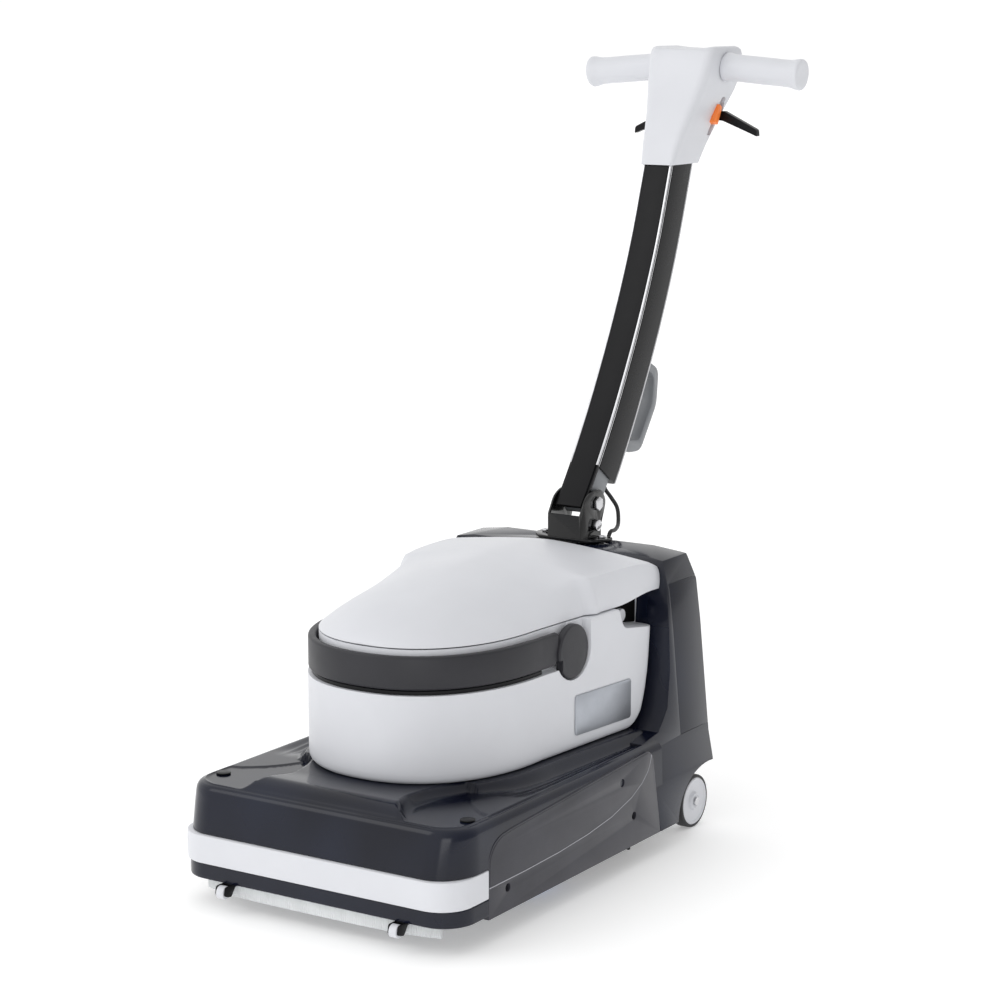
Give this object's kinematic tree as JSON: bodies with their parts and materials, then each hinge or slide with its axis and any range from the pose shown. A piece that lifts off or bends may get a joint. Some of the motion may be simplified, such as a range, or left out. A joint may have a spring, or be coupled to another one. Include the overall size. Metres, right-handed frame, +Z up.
{
  "type": "floor scrubber machine",
  "caption": "Walk-behind floor scrubber dryer with a folding curved handle, lift-off recovery tank with lid and carrying bail, cylindrical brush and squeegees.",
  "frame": {"origin": "on the floor, under the middle of the machine's length and width", "axes": "+Z up, the front of the machine faces -Y, +X is on the right of someone facing its front"},
  "size_m": [0.427, 1.0324, 1.07],
  "materials": {
    "shell_grey": "light grey moulded plastic, satin gloss",
    "smoke": "dark smoke-blue moulded plastic, glossy",
    "skirt_grey": "dark grey moulded plastic, soft gloss",
    "charcoal": "charcoal moulded plastic, matte",
    "black_plastic": "black plastic",
    "black_aluminium": "black anodised aluminium",
    "bracket_black": "black painted steel",
    "frame_aluminium": "dark cast aluminium",
    "steel": "zinc plated steel",
    "motor_steel": "motor case",
    "mid_grey": "mid grey plastic",
    "rubber_black": "black rubber",
    "tyre_dark": "dark grey rubber tread",
    "blade_clear": "translucent squeegee rubber",
    "key_orange": "orange plastic",
    "bristle_blue": "nylon bristles",
    "battery_case": "battery pack in a dark case",
    "cable_black": "black cable jacket"
  },
  "bodies": {
    "chassis": {"chassis_frame": "frame_aluminium", "front_deck": "smoke", "rear_housing": "smoke", "front_bumper": "shell_grey", "front_lower_strip": "smoke", "solution_tank": "mid_grey", "solution_pump": "black_plastic", "brush_motor": "motor_steel", "vacuum_motor": "motor_steel", "suction_duct": "black_plastic", "battery_pack": "battery_case", "control_board": "black_plastic", "wheel_axle": "steel", "pivot_bracket": "bracket_black", "pivot_bolt": "steel", "brush_bearing_left": "steel", "brush_bearing_right": "steel", "side_skirt_left": "skirt_grey", "side_skirt_right": "skirt_grey", "deck_plug_left": "black_plastic", "deck_plug_right": "black_plastic", "handle_cable": "cable_black", "drive_belt": "rubber_black"},
    "handle": {"column": "black_aluminium", "column_cover": "black_plastic", "column_foot": "mid_grey", "rear_grip": "mid_grey", "head_front_shell": "shell_grey", "head_rear_shell": "shell_grey", "grip_bar": "black_aluminium", "grip_left": "shell_grey", "grip_right": "shell_grey", "lever_pin_left": "steel", "lever_pin_right": "steel"},
    "left_lever": {"lever_left": "black_plastic"},
    "right_lever": {"lever_right": "black_plastic"},
    "key": {"safety_key": "key_orange"},
    "plunger": {"lock_plunger": "steel"},
    "tank": {"recovery_tank": "shell_grey", "float_cage": "mid_grey", "bail_pin_left": "steel", "bail_pin_right": "steel", "lid_hinge_pin": "steel"},
    "lid": {"tank_lid": "shell_grey"},
    "bail": {"carry_bail": "charcoal"},
    "door": {"battery_door": "smoke"},
    "left_wheel": {"wheel_left": "shell_grey", "tyre_left": "tyre_dark"},
    "right_wheel": {"wheel_right": "shell_grey", "tyre_right": "tyre_dark"},
    "brush": {"brush_core": "black_plastic", "brush_bristles": "bristle_blue", "brush_pulley": "black_plastic"},
    "drive_pulley": {"motor_pulley": "black_plastic"},
    "squeegee": {"squeegee_carrier": "black_plastic", "squeegee_blade": "blade_clear"},
    "left_roller": {"roller_left": "shell_grey"},
    "right_roller": {"roller_right": "shell_grey"},
    "rear_squeegee": {"rear_squeegee_carrier": "black_plastic", "rear_squeegee_blade": "rubber_black"}
  },
  "joints": [
    {"name": "handle_fold", "type": "hinge", "parent": "chassis", "child": "handle", "pos_m": [0, 0.13725, 0.442], "axis": [-1, 0, 0], "range_deg": [-105, 30], "deforming": ["handle_cable"]},
    {"name": "left_lever_squeeze", "type": "hinge", "parent": "handle", "child": "left_lever", "pos_m": [-0.038, 0.46225, 0.968], "axis": [0, 1, 0], "range_deg": [0, 15], "stiffness_Nm_per_rad": 0.4, "springref_deg": -11.46},
    {"name": "right_lever_squeeze", "type": "hinge", "parent": "handle", "child": "right_lever", "pos_m": [0.038, 0.46225, 0.968], "axis": [0, -1, 0], "range_deg": [0, 15], "stiffness_Nm_per_rad": 0.4, "springref_deg": -11.46},
    {"name": "key_press", "type": "slide", "parent": "handle", "child": "key", "axis": [-1, 0, 0], "range_m": [0, 0.003], "stiffness_N_per_m": 400, "springref_m": -0.001},
    {"name": "plunger_pull", "type": "slide", "parent": "chassis", "child": "plunger", "axis": [1, 0, 0], "range_m": [0, 0.005], "stiffness_N_per_m": 800, "springref_m": -0.002},
    {"name": "tank_lift", "type": "slide", "parent": "chassis", "child": "tank", "axis": [0, 0, 1], "range_m": [0, 0.12]},
    {"name": "lid_open", "type": "hinge", "parent": "tank", "child": "lid", "pos_m": [0, 0.06725, 0.391], "axis": [-1, 0, 0], "range_deg": [0, 60]},
    {"name": "bail_raise", "type": "hinge", "parent": "tank", "child": "bail", "pos_m": [0, -0.14275, 0.304], "axis": [-1, 0, 0], "range_deg": [0, 85]},
    {"name": "door_pull", "type": "slide", "parent": "chassis", "child": "door", "axis": [0, 1, 0], "range_m": [0, 0.06]},
    {"name": "left_wheel_spin", "type": "hinge", "parent": "chassis", "child": "left_wheel", "pos_m": [0, 0.13285, 0.0373], "axis": [1, 0, 0], "continuous": true},
    {"name": "right_wheel_spin", "type": "hinge", "parent": "chassis", "child": "right_wheel", "pos_m": [0, 0.13285, 0.0373], "axis": [1, 0, 0], "continuous": true},
    {"name": "brush_spin", "type": "hinge", "parent": "chassis", "child": "brush", "pos_m": [0, -0.22175, 0.045], "axis": [1, 0, 0], "continuous": true},
    {"name": "motor_spin", "type": "hinge", "parent": "chassis", "child": "drive_pulley", "pos_m": [0, -0.10175, 0.088], "axis": [1, 0, 0], "continuous": true},
    {"name": "squeegee_lower", "type": "slide", "parent": "chassis", "child": "squeegee", "axis": [0, 0, 1], "range_m": [-0.019, 0]},
    {"name": "left_roller_spin", "type": "hinge", "parent": "squeegee", "child": "left_roller", "pos_m": [0, -0.51075, 0.029], "axis": [1, 0, 0], "continuous": true},
    {"name": "right_roller_spin", "type": "hinge", "parent": "squeegee", "child": "right_roller", "pos_m": [0, -0.51075, 0.029], "axis": [1, 0, 0], "continuous": true},
    {"name": "rear_squeegee_lift", "type": "slide", "parent": "chassis", "child": "rear_squeegee", "axis": [0, 0, 1], "range_m": [-0.0015, 0.008]}
  ],
  "couplings": [
    {"joint": "motor_spin", "follows": "brush_spin", "ratio": 2}
  ]
}
